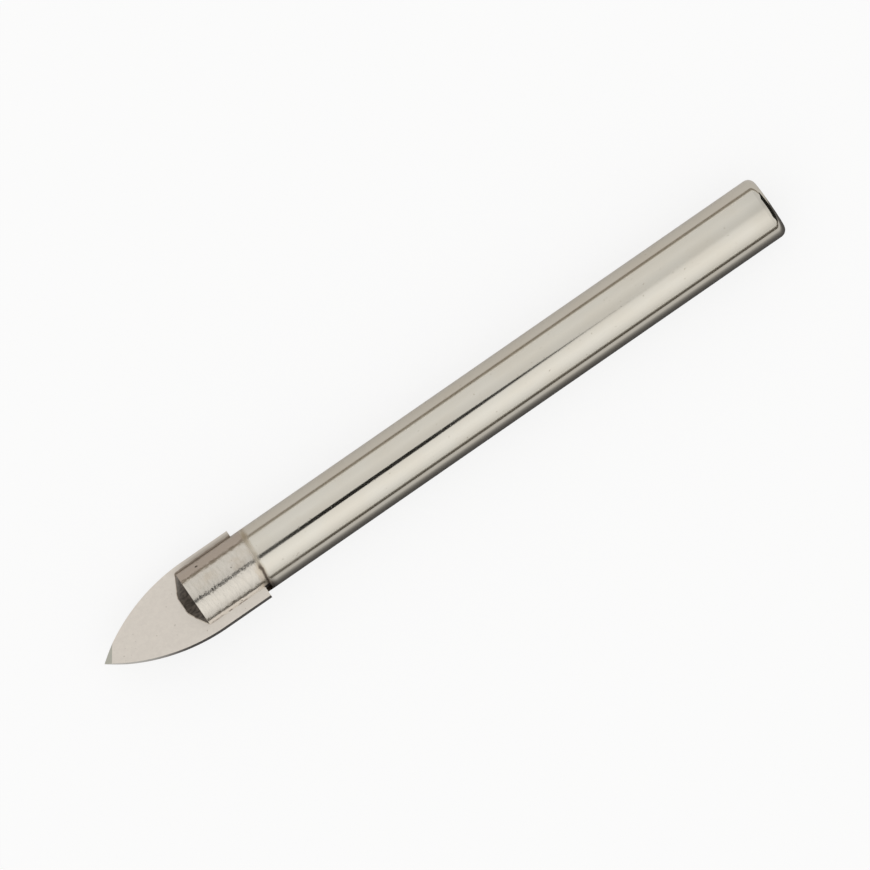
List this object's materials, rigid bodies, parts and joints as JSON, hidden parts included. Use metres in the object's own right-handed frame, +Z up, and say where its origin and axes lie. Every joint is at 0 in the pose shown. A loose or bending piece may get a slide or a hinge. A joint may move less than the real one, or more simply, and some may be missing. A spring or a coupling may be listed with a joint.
{
  "type": "glass and tile drill bit",
  "caption": "Spear-point drill bit for glass and tile: a ground carbide plate brazed into the slotted head of a plain round shank.",
  "frame": {"origin": "on the surface that the bit lies on, under the middle of its length", "axes": "+X along the axis of the bit towards the point, +Z up; the carbide plate is turned 18 degrees about X, with its +Y edge raised"},
  "size_m": [0.096, 0.0096, 0.008],
  "materials": {
    "shank_steel": "polished, warm nickel tint",
    "carbide": "fine ground satin",
    "braze": "dull, heat stained"
  },
  "bodies": {
    "root": {"shank": "shank_steel", "carbide_tip": "carbide", "braze_seam": "braze"}
  },
  "joints": []
}
